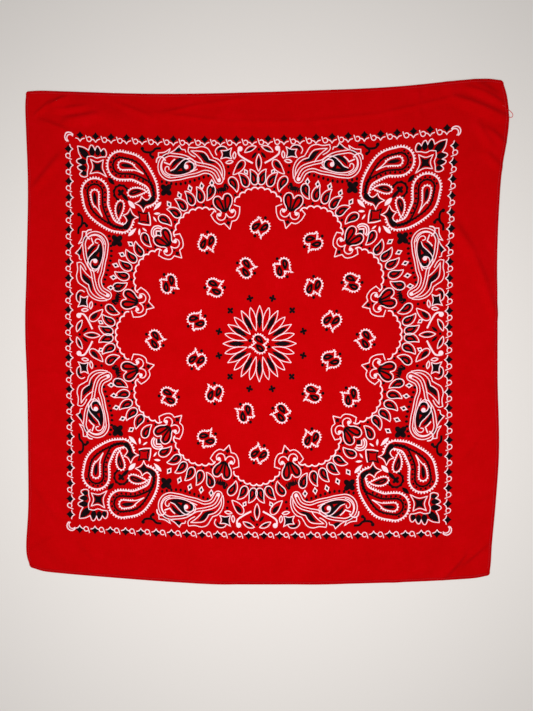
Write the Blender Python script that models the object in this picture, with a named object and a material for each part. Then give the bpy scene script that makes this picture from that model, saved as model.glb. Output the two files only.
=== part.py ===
"""Bandana laid flat: one printed square of cotton and its four turned hems.

Every point of the cloth has a flat place (u, v), measured from the middle of the cut square, u to
the right and v to the top.  lay() turns that place into the point where it lies on the table, and
all five pieces are made through it, so their seams keep their gap.
"""

import math

import bmesh
import bpy
from mathutils import Vector

MM = 0.001

# The finished cloth, laid out flat.
HALF_WIDTH = 274.5 * MM
HALF_LENGTH = 284.0 * MM
HEM_WIDTH = 4.0 * MM
CORNER_ROUND = 3.4 * MM
SEAM_GAP = 0.3 * MM

# Walls: one layer of cloth in the panel, three layers and two stitch rows in a hem.
PANEL_THICKNESS = 1.0 * MM
HEM_THICKNESS = 1.5 * MM

# Sections along and across each piece.  EDGE_FINENESS is the width of a section at the edge, as a
# share of an even one, because the folds run in from the edges.
PANEL_COLUMNS = 44
PANEL_ROWS = 44
HEM_SECTIONS = 52
EDGE_FINENESS = 0.35

# How the whole square lies: its middle sags towards the bottom edge, more so lower down, and its
# right side sits a little higher than its left.
SAG = 10.0 * MM
SAG_GROWTH = 2.5 * MM
RISE = 1.5 * MM
RIGHT_LIFT = 2.0 * MM
CENTRE_SHIFT_X = -2.0 * MM
CENTRE_SHIFT_Y = 3.5 * MM

# Where an edge bows out (push over 0) or in (push under 0).
# edge, middle of the bow along the edge, its half-length, push, how far into the cloth it fades
EDGE_BOWS = (
    ("top", -110 * MM, 95 * MM, -1.5 * MM, 60 * MM),
    ("top", 240 * MM, 60 * MM, 3.5 * MM, 50 * MM),
    ("right", 238 * MM, 42 * MM, 7.5 * MM, 45 * MM),
    ("right", 95 * MM, 70 * MM, -2.5 * MM, 50 * MM),
    ("right", -135 * MM, 65 * MM, 4.0 * MM, 60 * MM),
    ("right", -262 * MM, 40 * MM, -2.5 * MM, 40 * MM),
    ("left", 175 * MM, 75 * MM, -3.0 * MM, 55 * MM),
    ("left", 5 * MM, 50 * MM, 2.0 * MM, 50 * MM),
    ("left", -258 * MM, 35 * MM, 3.5 * MM, 40 * MM),
    ("bottom", -60 * MM, 80 * MM, 1.5 * MM, 60 * MM),
)

# How far each corner is drawn in towards the middle, which blunts it.
# side of u, side of v, draw
CORNER_DRAWS = (
    (-1, 1, 2.2 * MM),
    (1, 1, 3.4 * MM),
    (1, -1, 2.6 * MM),
    (-1, -1, 4.2 * MM),
)
CORNER_REACH = 13 * MM

# The largest creases, as soft ridges from one flat place to another.
# name, start u, start v, end u, end v, half-width, height
CREASES = (
    ("top_left_tuck", -252 * MM, 262 * MM, -216 * MM, 277 * MM, 9 * MM, 2.4 * MM),
    ("top_left_fan_high", -236 * MM, 279 * MM, -128 * MM, 240 * MM, 15 * MM, 2.0 * MM),
    ("top_left_fan_low", -262 * MM, 250 * MM, -196 * MM, 226 * MM, 13 * MM, 1.4 * MM),
    ("top_long_left", -176 * MM, 262 * MM, -52 * MM, 256 * MM, 12 * MM, 1.2 * MM),
    ("top_long_right", -66 * MM, 262 * MM, 58 * MM, 248 * MM, 11 * MM, 1.0 * MM),
    ("top_right_fold", 232 * MM, 284 * MM, 272 * MM, 259 * MM, 9 * MM, 3.0 * MM),
    ("top_right_broad", 212 * MM, 276 * MM, 276 * MM, 244 * MM, 11 * MM, 2.2 * MM),
    ("top_right_small", 204 * MM, 284 * MM, 226 * MM, 268 * MM, 8 * MM, 1.3 * MM),
    ("right_upper", 248 * MM, 236 * MM, 276 * MM, 196 * MM, 9 * MM, 1.6 * MM),
    ("right_diagonal", 238 * MM, 128 * MM, 272 * MM, 32 * MM, 14 * MM, 1.8 * MM),
    ("bottom_right_band", 208 * MM, -282 * MM, 266 * MM, -228 * MM, 16 * MM, 2.2 * MM),
    ("bottom_left_band", -270 * MM, -236 * MM, -212 * MM, -280 * MM, 15 * MM, 1.6 * MM),
    ("left_middle", -274 * MM, 40 * MM, -238 * MM, -24 * MM, 13 * MM, 1.0 * MM),
)


def soft_hill(distance, half_width):
    """Height share of a rounded ridge: (1 - (d/w)^2)^2 inside its half-width, 0 outside."""
    share = min(abs(distance) / half_width, 1.0)
    return (1.0 - share * share) ** 2


def crease_height(u, v):
    """Lift of the cloth off the table: the highest ridge at this flat place."""
    lift = 0.0
    for _name, start_u, start_v, end_u, end_v, half_width, height in CREASES:
        run_u = end_u - start_u
        run_v = end_v - start_v
        length = math.hypot(run_u, run_v)
        along = ((u - start_u) * run_u + (v - start_v) * run_v) / length
        across = ((v - start_v) * run_u - (u - start_u) * run_v) / length
        ridge = soft_hill(across, half_width) * soft_hill(along - length / 2, length / 2)
        lift = max(lift, height * ridge)
    return lift


def lay(u, v):
    """Point on the table of the cloth's flat place (u, v)."""
    across = u / HALF_WIDTH
    sag = SAG - SAG_GROWTH * v / HALF_LENGTH
    x = u + CENTRE_SHIFT_X
    y = v + CENTRE_SHIFT_Y + RISE + RIGHT_LIFT * across - sag * (1.0 - across * across)
    for edge, middle, half_length, push, reach in EDGE_BOWS:
        along = u if edge in ("top", "bottom") else v
        side = 1.0 if edge in ("top", "right") else -1.0
        inward = HALF_LENGTH - side * v if edge in ("top", "bottom") else HALF_WIDTH - side * u
        bow = side * push * math.exp(-((along - middle) / half_length) ** 2 - inward / reach)
        if edge in ("top", "bottom"):
            y += bow
        else:
            x += bow
    for side_u, side_v, draw in CORNER_DRAWS:
        away = math.hypot(HALF_WIDTH - side_u * u, HALF_LENGTH - side_v * v)
        pull = draw * math.exp(-(away / CORNER_REACH) ** 2) * math.sqrt(0.5)
        x -= side_u * pull
        y -= side_v * pull
    return Vector((x, y, crease_height(u, v)))


def graded(place):
    """Place of a section from -1 to 1, with the sections closer together near both ends."""
    return place * (1.0 + 0.5 * (1.0 - EDGE_FINENESS) * (1.0 - place * place))


def corner_drop(from_end):
    """How far a hem's outer edge drops at this distance from its square end: a quarter circle."""
    if from_end >= CORNER_ROUND:
        return 0.0
    return CORNER_ROUND - math.sqrt(CORNER_ROUND ** 2 - (CORNER_ROUND - from_end) ** 2)


def panel_place(across, up):
    """Flat place on the panel, from its two places between -1 and 1."""
    half_u = HALF_WIDTH - HEM_WIDTH - SEAM_GAP
    half_v = HALF_LENGTH - HEM_WIDTH - SEAM_GAP
    return graded(across) * half_u, graded(up) * half_v


def end_hem_place(along, out, side):
    """Flat place on the top (side 1) or bottom (side -1) hem, which run the whole width."""
    u = graded(along) * HALF_WIDTH
    outer = HALF_LENGTH - corner_drop(HALF_WIDTH - abs(u))
    inner = HALF_LENGTH - HEM_WIDTH
    return u, side * (inner + (outer - inner) * (out + 1.0) / 2.0)


def side_hem_place(along, out, side):
    """Flat place on the right (side 1) or left (side -1) hem, which stop at the end hems."""
    v = graded(along) * (HALF_LENGTH - HEM_WIDTH - SEAM_GAP)
    inner = HALF_WIDTH - HEM_WIDTH
    return side * (inner + HEM_WIDTH * (out + 1.0) / 2.0), v


def cotton(name, colour, roughness):
    """Plain woven cotton in one colour."""
    material = bpy.data.materials.new(name)
    material.use_nodes = True
    shader = material.node_tree.nodes["Principled BSDF"]
    shader.inputs["Base Color"].default_value = (*colour, 1.0)
    shader.inputs["Roughness"].default_value = roughness
    shader.inputs["Metallic"].default_value = 0.0
    return material


def cloth_wall(name, columns, rows, place, thickness, material):
    """A wall of cloth: a grid laid on the table by place and lay, and extruded straight up."""
    mesh = bmesh.new()
    bmesh.ops.create_grid(mesh, x_segments=columns, y_segments=rows, size=1.0)
    for corner in mesh.verts:
        u, v = place(corner.co.x, corner.co.y)
        corner.co = lay(u, v)
    wall = bmesh.ops.extrude_face_region(mesh, geom=mesh.faces[:])
    upper = [item for item in wall["geom"] if isinstance(item, bmesh.types.BMVert)]
    bmesh.ops.translate(mesh, verts=upper, vec=(0.0, 0.0, thickness))
    bmesh.ops.recalc_face_normals(mesh, faces=mesh.faces[:])
    data = bpy.data.meshes.new(name)
    mesh.to_mesh(data)
    mesh.free()
    data.materials.append(material)
    piece = bpy.data.objects.new(name, data)
    bpy.context.collection.objects.link(piece)
    return piece


def build_panel():
    """The printed square inside the hems."""
    red = cotton("printed_cotton", (0.58, 0.004, 0.008), 0.85)
    return cloth_wall("cloth_panel", PANEL_COLUMNS, PANEL_ROWS, panel_place, PANEL_THICKNESS, red)


def build_hems():
    """The four turned hems: two over the whole width, and two between them."""
    hem_cotton = cotton("hem_cotton", (0.52, 0.004, 0.008), 0.85)
    runs = (
        ("hem_top", end_hem_place, 1),
        ("hem_bottom", end_hem_place, -1),
        ("hem_right", side_hem_place, 1),
        ("hem_left", side_hem_place, -1),
    )
    for name, hem_place, side in runs:

        def place(along, out, hem_place=hem_place, side=side):
            return hem_place(along, out, side)

        cloth_wall(name, HEM_SECTIONS, 1, place, HEM_THICKNESS, hem_cotton)


def main():
    """Clear the scene and build the five pieces."""
    for leftover in list(bpy.data.objects):
        bpy.data.objects.remove(leftover, do_unlink=True)
    build_panel()
    build_hems()


main()
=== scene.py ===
# %% [markdown]
# # A cotton bandana, laid flat
#
# The real object is one square of thin plain-woven cotton. It is dyed red, printed in black and
# white on its upper face, and its four edges are turned over twice and sewn.
#
# This script dresses the imported model in that cloth: a thin laid panel, four rolled hems with their
# stitches, a loose thread, and the print. The imported nodes keep the sizes, so the script starts by
# loading them.

# %% Load the imported model
import math

import bpy
import numpy as np
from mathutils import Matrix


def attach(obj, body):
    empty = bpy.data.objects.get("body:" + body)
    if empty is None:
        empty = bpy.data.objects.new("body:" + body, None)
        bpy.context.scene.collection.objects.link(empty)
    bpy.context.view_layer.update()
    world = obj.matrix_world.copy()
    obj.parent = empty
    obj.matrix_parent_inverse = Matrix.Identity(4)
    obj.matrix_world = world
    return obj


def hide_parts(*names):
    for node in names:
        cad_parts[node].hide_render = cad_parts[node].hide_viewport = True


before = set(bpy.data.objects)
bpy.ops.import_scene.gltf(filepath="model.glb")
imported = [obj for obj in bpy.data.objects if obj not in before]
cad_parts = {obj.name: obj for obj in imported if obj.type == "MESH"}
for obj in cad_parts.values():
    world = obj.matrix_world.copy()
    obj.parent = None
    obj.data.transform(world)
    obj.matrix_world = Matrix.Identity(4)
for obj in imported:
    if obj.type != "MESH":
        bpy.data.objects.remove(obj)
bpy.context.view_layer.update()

# %% [markdown]
# ## Sizes
#
# Every point of the cloth has a flat place (u, v), measured in metres from the middle of the
# finished square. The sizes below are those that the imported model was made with. The walls are
# thinner here, because real bandana cotton is a fraction of a millimetre thick.

# %% Sizes of the finished cloth
MM = 0.001
HALF_WIDTH = 274.5 * MM
HALF_LENGTH = 284.0 * MM
HEM_WIDTH = 4.0 * MM
CORNER_ROUND = 3.4 * MM
CLOTH_THICKNESS = 0.5 * MM
HEM_THICKNESS = 1.0 * MM
print("finished cloth:", 2 * HALF_WIDTH, "by", 2 * HALF_LENGTH, "m")

# %% [markdown]
# ## How the cloth lies
#
# A square of cotton dropped on a table is never quite square: its middle sags, its edges bow, its
# corners are drawn in a little, and a few creases stay in it. A cloth simulation would give some
# such shape, but not this one, so the lay is a formula with a short table for the bows and one for
# the creases. The same formula then carries the panel, the hems, the stitches and the print, which
# is what keeps them together.

# %% The lay in plan
SAG = 10.0 * MM
SAG_GROWTH = 2.5 * MM
RISE = 1.5 * MM
RIGHT_LIFT = 2.0 * MM
CENTRE_SHIFT = (-2.0 * MM, 3.5 * MM)

# edge, middle of the bow along it, half-length, push outwards, how far in it fades, in mm
EDGE_BOWS = (
    ("top", -110, 95, -1.5, 60),
    ("top", 240, 60, 3.5, 50),
    ("right", 238, 42, 7.5, 45),
    ("right", 95, 70, -2.5, 50),
    ("right", -135, 65, 4.0, 60),
    ("right", -262, 40, -2.5, 40),
    ("left", 175, 75, -3.0, 55),
    ("left", 5, 50, 2.0, 50),
    ("left", -258, 35, 3.5, 40),
    ("bottom", -60, 80, 1.5, 60),
)

# side of u, side of v, how far the corner is drawn in, in mm
CORNER_DRAWS = ((-1, 1, 2.2), (1, 1, 3.4), (1, -1, 2.6), (-1, -1, 4.2))
CORNER_REACH = 13 * MM


def lay(u, v):
    """Plan of the laid cloth: (x, y) of the flat places u and v.

    The sag is a parabola across the cloth. Each bow is a bell along its edge times a decay inwards,
    and each corner's draw is a bell around the corner.
    """
    across = u / HALF_WIDTH
    sag = SAG - SAG_GROWTH * v / HALF_LENGTH
    x = u + CENTRE_SHIFT[0]
    y = v + CENTRE_SHIFT[1] + RISE + RIGHT_LIFT * across - sag * (1 - across**2)
    for edge, middle, half_length, push, reach in EDGE_BOWS:
        level = edge in ("top", "bottom")
        side = 1 if edge in ("top", "right") else -1
        along = u if level else v
        inward = (HALF_LENGTH - side * v) if level else (HALF_WIDTH - side * u)
        bell = np.exp(-(((along - middle * MM) / (half_length * MM)) ** 2) - inward / (reach * MM))
        if level:
            y = y + side * push * MM * bell
        else:
            x = x + side * push * MM * bell
    for side_u, side_v, draw in CORNER_DRAWS:
        away = np.hypot(HALF_WIDTH - side_u * u, HALF_LENGTH - side_v * v)
        pull = draw * MM * math.sqrt(0.5) * np.exp(-((away / CORNER_REACH) ** 2))
        x = x - side_u * pull
        y = y - side_v * pull
    return x, y


corner_x, corner_y = lay(np.array([HALF_WIDTH]), np.array([HALF_LENGTH]))
print("top right corner lies at", corner_x, corner_y)

# %% [markdown]
# ## Creases
#
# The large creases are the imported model's own. Between them the real cloth has finer ones: some fan
# in from the corners, and some are long and faint. Each is a rounded ridge, and where two run side
# by side the gap is a trough. A broad and very low unevenness runs over the whole square, because
# cotton never lies dead flat.

# %% The heights
# start u, start v, end u, end v, half-width, height, in mm
LARGE_CREASES = (
    (-252, 262, -216, 277, 9, 2.4),
    (-236, 279, -128, 240, 15, 2.0),
    (-262, 250, -196, 226, 13, 1.4),
    (-176, 262, -52, 256, 12, 1.2),
    (-66, 262, 58, 248, 11, 1.0),
    (232, 284, 272, 259, 9, 3.0),
    (212, 276, 276, 244, 11, 2.2),
    (204, 284, 226, 268, 8, 1.3),
    (248, 236, 276, 196, 9, 1.6),
    (238, 128, 272, 32, 14, 1.8),
    (208, -282, 266, -228, 16, 2.2),
    (-270, -236, -212, -280, 15, 1.6),
    (-274, 40, -238, -24, 13, 1.0),
)
FINE_CREASES = (
    (-252, 262, -222, 279, 3.5, 2.1),
    (-265, 253, -239, 274, 3.5, 1.9),
    (-262, 251, -220, 236, 5, 2.2),
    (-246, 260, -197, 267, 5, 2.2),
    (-234, 249, -180, 257, 8, 4.0),
    (-226, 217, -272, 163, 7, 2.6),
    (-174, 275, -117, 253, 4, 1.6),
    (-121, 258, -60, 273, 4, 1.4),
    (-76, 269, -6, 279, 4, 1.1),
    (-132, 262, -28, 250, 4, 1.3),
    (-60, 251, 72, 248, 4, 1.1),
    (48, 248, 152, 255, 4, 1.3),
    (128, 253, 232, 268, 4, 1.6),
    (178, 284, 181, 246, 5, 1.6),
    (208, 270, 278, 237, 7, 4.6),
    (226, 279, 274, 254, 5, 3.2),
    (240, 242, 262, 203, 6, 2.4),
    (248, 234, 276, 210, 5, 2.1),
    (250, 208, 276, 181, 6, 2.1),
    (217, 134, 250, 83, 9, 3.4),
    (239, 100, 264, 43, 9, 3.4),
    (256, 60, 275, 12, 8, 2.6),
    (252, -121, 231, -145, 4, 1.1),
    (270, -187, 228, -191, 7, 1.6),
    (274, -238, 236, -268, 5, 2.1),
    (213, -284, 245, -249, 6, 2.6),
    (150, -285, 208, -268, 6, 1.1),
    (34, -277, 118, -291, 7, 1.0),
    (-104, -276, -22, -285, 7, 1.0),
    (-217, -236, -188, -268, 7, 1.4),
    (-273, -262, -236, -238, 5, 1.6),
    (-272, -171, -231, -226, 7, 1.4),
    (-271, 63, -238, 31, 7, 1.6),
    (-239, -48, -271, -45, 6, 1.6),
)
# length of the wave in mm, its direction in degrees, height in mm, start of the wave in radians
UNEVENNESS = (
    (175, 62, 0.16, 0.4),
    (118, -38, 0.12, 2.1),
    (83, 14, 0.09, 4.0),
    (61, 97, 0.07, 1.2),
)


def ridges(u, v, rows, ends):
    """Highest ridge of a table at each flat place.

    Across the crease it is (1 - s^2)^2, and along it (1 - s^ends)^2, so a higher power keeps its
    height further towards both ends.
    """
    height = np.zeros_like(u)
    for start_u, start_v, end_u, end_v, half_width, top in rows:
        run = np.array([end_u - start_u, end_v - start_v], float)
        length = np.hypot(*run)
        du, dv = u / MM - start_u, v / MM - start_v
        along = (du * run[0] + dv * run[1]) / length - length / 2
        across = (dv * run[0] - du * run[1]) / length
        width_share = np.clip(np.abs(across) / half_width, 0, 1)
        length_share = np.clip(np.abs(along) / (length / 2), 0, 1)
        ridge = (1 - width_share**2) ** 2 * (1 - length_share**ends) ** 2
        height = np.maximum(height, top * ridge)
    return height * MM


def lift(u, v):
    """Height of the cloth's underside: the large ridges, the fine ones on them, and slow waves."""
    height = ridges(u, v, LARGE_CREASES, 2) + ridges(u, v, FINE_CREASES, 4)
    for length, degrees, top, start in UNEVENNESS:
        along = u / MM * math.cos(math.radians(degrees)) + v / MM * math.sin(math.radians(degrees))
        height = height + top * MM * 0.5 * (1 + np.sin(2 * math.pi * along / length + start))
    return height


print("highest crease:", float(lift(np.array([0.252]), np.array([0.271]))[0]))

# %% [markdown]
# ## Making meshes from arrays
#
# Each cloth piece is a surface of two parameters, worked out as whole arrays. A helper turns such
# arrays into a mesh, gives it a map of its flat place, so that a pattern can follow the threads, and
# lets it ride on the one body that the model has.

# %% Mesh helpers
def mesh_piece(name, points, faces, flat, material, smooth=True):
    """Object from vertex, face and flat-place arrays; the flat places become the map."""
    mesh = bpy.data.meshes.new(name)
    mesh.vertices.add(len(points))
    mesh.vertices.foreach_set("co", np.asarray(points, np.float32).ravel())
    corners = faces.shape[1]
    mesh.loops.add(faces.size)
    mesh.loops.foreach_set("vertex_index", faces.astype(np.int32).ravel())
    mesh.polygons.add(len(faces))
    mesh.polygons.foreach_set("loop_start", np.arange(0, faces.size, corners, dtype=np.int32))
    mesh.polygons.foreach_set("use_smooth", np.full(len(faces), smooth))
    mesh.update(calc_edges=True)
    layer = mesh.uv_layers.new(name="OFBake")
    span = 2 * np.array([HALF_WIDTH, HALF_LENGTH])
    spread = (np.asarray(flat) / span * 0.98 + 0.5).astype(np.float32)
    layer.data.foreach_set("uv", spread[faces.ravel()].ravel())
    mesh.validate()
    mesh.materials.append(material)
    piece = bpy.data.objects.new(name, mesh)
    bpy.context.collection.objects.link(piece)
    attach(piece, "root")
    print(f"{name}: {len(points)} points, {len(faces)} faces")
    return piece


def grid_faces(rows, columns, wrap=False):
    """Four-sided faces of a rows by columns grid of points; wrap joins the last row to the first."""
    index = np.arange(rows * columns).reshape(rows, columns)
    below = index if wrap else index[:-1]
    above = np.roll(index, -1, axis=0) if wrap else index[1:]
    quads = (below[:, :-1], below[:, 1:], above[:, 1:], above[:, :-1])
    return np.stack([q.ravel() for q in quads], axis=1)


# %% [markdown]
# ## The red cotton
#
# Cheap bandana cotton is a plain weave: one thread over, one under, about two threads to the
# millimetre. Its threads are spun unevenly, so short thicker and thinner stretches, called slubs,
# run along both directions and take the dye a little lighter or darker. The colour is saturated and
# the face is dull, with only a faint fuzz.
#
# The weave is two crossed bands of waves in the bump, laid on the cloth's own map, and the slubs are
# noise stretched along each thread direction. A picture of the weave would do as well, but it would
# blur close up. Sheen stays a constant on the shader's socket.

# %% Material helpers
def new_material(name, roughness, specular, sheen, sheen_roughness, sheen_tint):
    """Principled material with its constant values on the sockets."""
    material = bpy.data.materials.new(name)
    material.use_nodes = True
    shader = material.node_tree.nodes["Principled BSDF"]
    shader.inputs["Roughness"].default_value = roughness
    shader.inputs["Specular IOR Level"].default_value = specular
    shader.inputs["Sheen Weight"].default_value = sheen
    shader.inputs["Sheen Roughness"].default_value = sheen_roughness
    shader.inputs["Sheen Tint"].default_value = (*sheen_tint, 1)
    return material, material.node_tree, shader


def math_node(tree, operation, first, second):
    """Math node of two inputs, each a socket or a number."""
    node = tree.nodes.new("ShaderNodeMath")
    node.operation = operation
    for socket, value in zip(node.inputs, (first, second)):
        if isinstance(value, (int, float)):
            socket.default_value = value
        else:
            tree.links.new(value, socket)
    return node.outputs[0]


def cloth_map(tree, scale):
    """The cloth's own flat map, scaled so that one unit is scale metres along both threads."""
    place = tree.nodes.new("ShaderNodeUVMap")
    place.uv_map = "OFBake"
    mapping = tree.nodes.new("ShaderNodeMapping")
    mapping.inputs["Scale"].default_value = (2 * HALF_WIDTH / scale[0], 2 * HALF_LENGTH / scale[1], 1)
    tree.links.new(place.outputs["UV"], mapping.inputs["Vector"])
    return mapping.outputs["Vector"]


def noise(tree, vector, detail, roughness=0.5):
    """Noise value in cells of one unit of the map."""
    node = tree.nodes.new("ShaderNodeTexNoise")
    node.inputs["Scale"].default_value = 1.0
    node.inputs["Detail"].default_value = detail
    node.inputs["Roughness"].default_value = roughness
    tree.links.new(vector, node.inputs["Vector"])
    return node.outputs["Fac"]


def threads(tree, direction, pitch):
    """Waves of one thread direction, crests a pitch apart."""
    node = tree.nodes.new("ShaderNodeTexWave")
    node.bands_direction = direction
    node.inputs["Scale"].default_value = 1.0
    # A wave texture has one crest every pi / 10 units of its scaled map.
    vector = cloth_map(tree, (pitch * 10 / math.pi, pitch * 10 / math.pi))
    tree.links.new(vector, node.inputs["Vector"])
    return node.outputs["Fac"]


THREAD_PITCH = 0.45 * MM


def weave_height(tree):
    """Height of a plain weave: crossed thread waves, with slubs along both directions."""
    woven = math_node(tree, "ADD", threads(tree, "X", THREAD_PITCH), threads(tree, "Y", THREAD_PITCH))
    slub_u = noise(tree, cloth_map(tree, (9 * MM, 0.7 * MM)), 2)
    slub_v = noise(tree, cloth_map(tree, (0.7 * MM, 9 * MM)), 2)
    slubs = math_node(tree, "ADD", slub_u, slub_v)
    return math_node(tree, "ADD", math_node(tree, "MULTIPLY", woven, 0.35), slubs), slubs


def bump_into(tree, shader, height, distance, strength):
    """Bump node from a height value, in metres, on to the shader's normal."""
    node = tree.nodes.new("ShaderNodeBump")
    node.inputs["Distance"].default_value = distance
    node.inputs["Strength"].default_value = strength
    tree.links.new(height, node.inputs["Height"])
    tree.links.new(node.outputs["Normal"], shader.inputs["Normal"])


def colour_ramp(tree, value, stops):
    """Colour ramp through (place, colour) stops."""
    node = tree.nodes.new("ShaderNodeValToRGB")
    elements = node.color_ramp.elements
    while len(elements) < len(stops):
        elements.new(0.5)
    for element, (place, colour) in zip(elements, stops):
        element.position = place
        element.color = (*colour, 1)
    tree.links.new(value, node.inputs["Fac"])
    return node.outputs["Color"]


def woven_cotton(name, dark, middle, light):
    """Dyed or printed cotton: slub streaks and slow mottling in the colour, weave in the bump."""
    material, tree, shader = new_material(name, 0.95, 0.03, 0.04, 0.5, (1.0, 0.05, 0.08))
    height, slubs = weave_height(tree)
    mottle = noise(tree, cloth_map(tree, (26 * MM, 26 * MM)), 3, 0.6)
    streaks = math_node(tree, "MULTIPLY", slubs, 0.21)
    clouds = math_node(tree, "MULTIPLY", mottle, 0.24)
    shade = math_node(tree, "ADD", math_node(tree, "ADD", streaks, clouds), 0.17)
    colour = colour_ramp(tree, shade, ((0.36, dark), (0.5, middle), (0.64, light)))
    tree.links.new(colour, shader.inputs["Base Color"])
    bump_into(tree, shader, height, 0.12 * MM, 0.55)
    return material


red_cotton = woven_cotton("red_cotton", (0.41, 0.0, 0.0005), (0.475, 0.0, 0.001), (0.54, 0.0, 0.003))
# The hems are the same cotton a step darker: that darkness is painted shade of the rolled edges.
hem_cotton = woven_cotton("hem_cotton", (0.34, 0.0, 0.0005), (0.41, 0.0, 0.001), (0.48, 0.0, 0.002))
print("materials:", red_cotton.name, hem_cotton.name)

# %% [markdown]
# ## The laid panel
#
# The panel is the square of single cloth inside the hems. It is one closed sheet: an upper and an
# under grid over the same flat places, joined round the rim. Its rim runs a little way under the
# hems, as the cloth does before it is turned over. The sections are closer together near the edges,
# where the creases are.

# %% The panel
PANEL_POINTS = 202
UNDER_HEM = 1.2 * MM
EDGE_FINENESS = 0.6


def graded(count):
    """Places from -1 to 1, closer together near both ends: p (1 + k (1 - p^2))."""
    place = np.linspace(-1, 1, count)
    return place * (1 + 0.5 * (1 - EDGE_FINENESS) * (1 - place**2))


def laid(u, v, above):
    """Points of the laid cloth at flat places u and v, this far above its underside."""
    x, y = lay(u, v)
    return np.stack([x, y, lift(u, v) + above], axis=-1)


def build_panel():
    """Upper and under grids of the same flat places, and a strip of faces round their rim."""
    half_u = HALF_WIDTH - HEM_WIDTH + UNDER_HEM
    half_v = HALF_LENGTH - HEM_WIDTH + UNDER_HEM
    v, u = np.meshgrid(graded(PANEL_POINTS) * half_v, graded(PANEL_POINTS) * half_u, indexing="ij")
    upper = laid(u, v, CLOTH_THICKNESS).reshape(-1, 3)
    under = laid(u, v, 0.0).reshape(-1, 3)
    faces = grid_faces(PANEL_POINTS, PANEL_POINTS)
    index = np.arange(PANEL_POINTS**2).reshape(PANEL_POINTS, PANEL_POINTS)
    sides = (index[0, :-1], index[:-1, -1], index[-1, :0:-1], index[:0:-1, 0])
    rim = np.concatenate(sides)
    onward = np.roll(rim, -1)
    shift = PANEL_POINTS**2
    strip = np.stack([rim + shift, onward + shift, onward, rim], axis=1)
    every = np.concatenate([faces, faces[:, ::-1] + shift, strip])
    flat = np.tile(np.stack([u, v], axis=-1).reshape(-1, 2), (2, 1))
    return mesh_piece("cloth_panel_laid", np.concatenate([upper, under]), every, flat, red_cotton)


panel = build_panel()
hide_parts("cloth_panel")

# %% [markdown]
# ## The hems
#
# A machine turns the raw edge over twice and sews it down, so a hem is a narrow rounded roll of
# three layers. The side hems were sewn first, and the top and bottom ones run over their ends. The
# sewing draws the cloth in at each stitch, which puckers it, and the roll twists slightly as it goes,
# so its thickness is never quite even.
#
# Each hem is a profile carried along its edge: a flat oval, lifted over the panel on its inner side.

# %% Hem surfaces
STITCH_PITCH = 2.6 * MM
STITCH_INSET = 3.1 * MM
HEM_PROFILE_POINTS = 14
SECTIONS_PER_STITCH = 4
ROLL_POWER = 0.55
GROOVE_WIDTH = 0.16
GROOVE_DEPTH = 0.18
PUCKER_DEPTH = 0.22
TWIST = 0.07
SEED_STEP = 1.7


def corner_drop(from_end):
    """Quarter circle by which a hem's outer edge drops towards its square end."""
    short = np.clip(CORNER_ROUND - from_end, 0, None)
    return CORNER_ROUND - np.sqrt(CORNER_ROUND**2 - short**2)


def hem_flat(along, out, side, level):
    """Flat place on a hem: along runs its length in metres, out from 0 inside to 1 at the edge."""
    if level:
        width = HEM_WIDTH - corner_drop(HALF_WIDTH - np.abs(along))
        return along, side * (HALF_LENGTH - HEM_WIDTH + width * out)
    return side * (HALF_WIDTH - HEM_WIDTH + HEM_WIDTH * out), along


def hem_height(along, out, seed):
    """Upper height of a hem: a rounded roll, a stitch groove with puckers, and a slow twist."""
    roll = np.sqrt(np.clip(1 - (2 * out - 1) ** 2, 0, 1)) ** ROLL_POWER
    groove = np.exp(-(((out - 1 + STITCH_INSET / HEM_WIDTH) / GROOVE_WIDTH) ** 2))
    pucker = 0.5 + 0.5 * np.cos(2 * math.pi * along / STITCH_PITCH)
    slow = np.sin(along / MM / 7.3 + 4 * out + seed)
    quick = 0.6 * np.sin(along / MM / 3.1 - 3 * out + 2 * seed)
    depth = groove * (GROOVE_DEPTH + PUCKER_DEPTH * pucker)
    return HEM_THICKNESS * roll * (1 - depth + TWIST * (slow + quick))


def build_hem(name, side, level, seed):
    """Closed tube: the upper half of the profile follows hem_height, the lower half lies flat."""
    half = HALF_WIDTH if level else HALF_LENGTH - HEM_WIDTH
    sections = int(2 * half / STITCH_PITCH * SECTIONS_PER_STITCH)
    along, turn = np.meshgrid(
        np.linspace(-half, half, sections),
        np.linspace(0, 2 * math.pi, HEM_PROFILE_POINTS, endpoint=False),
        indexing="ij",
    )
    out = 0.5 - 0.5 * np.cos(turn)
    u, v = hem_flat(along, out, side, level)
    above = np.where(np.sin(turn) > 1e-6, hem_height(along, out, seed), 0.0)
    rounded = 0.25 * HEM_THICKNESS * np.abs(2 * out - 1) ** 3
    height = np.maximum(above, rounded * (np.sin(turn) > -0.5))
    points = laid(u, v, height)
    index = np.arange(points[..., 0].size).reshape(points.shape[:2])
    onward = np.roll(index, -1, axis=1)
    quads = np.stack([index[:-1], index[1:], onward[1:], onward[:-1]], axis=-1).reshape(-1, 4)
    if (side > 0) == level:
        quads = quads[:, ::-1]
    flat = np.stack([u, v], axis=-1).reshape(-1, 2)
    return points.reshape(-1, 3), quads, flat, index


def close_ends(points, quads, flat, index, flipped):
    """Fans over both ends of a tube, each to the middle of its rim, as four-sided faces."""
    middles = np.array([points[index[0]].mean(axis=0), points[index[-1]].mean(axis=0)])
    flats = np.array([flat[index[0]].mean(axis=0), flat[index[-1]].mean(axis=0)])
    caps = []
    for number, (end, reverse) in enumerate(((index[0], flipped), (index[-1], not flipped))):
        rim = np.append(end, end[0])
        centre = np.full(len(rim) // 2, len(points) + number)
        fan = np.stack([rim[:-1:2], rim[1::2], rim[2::2], centre], axis=1)
        caps.append(fan[:, ::-1] if reverse else fan)
    return (
        np.concatenate([points, middles]),
        np.concatenate([quads, *caps]),
        np.concatenate([flat, flats]),
    )


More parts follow.
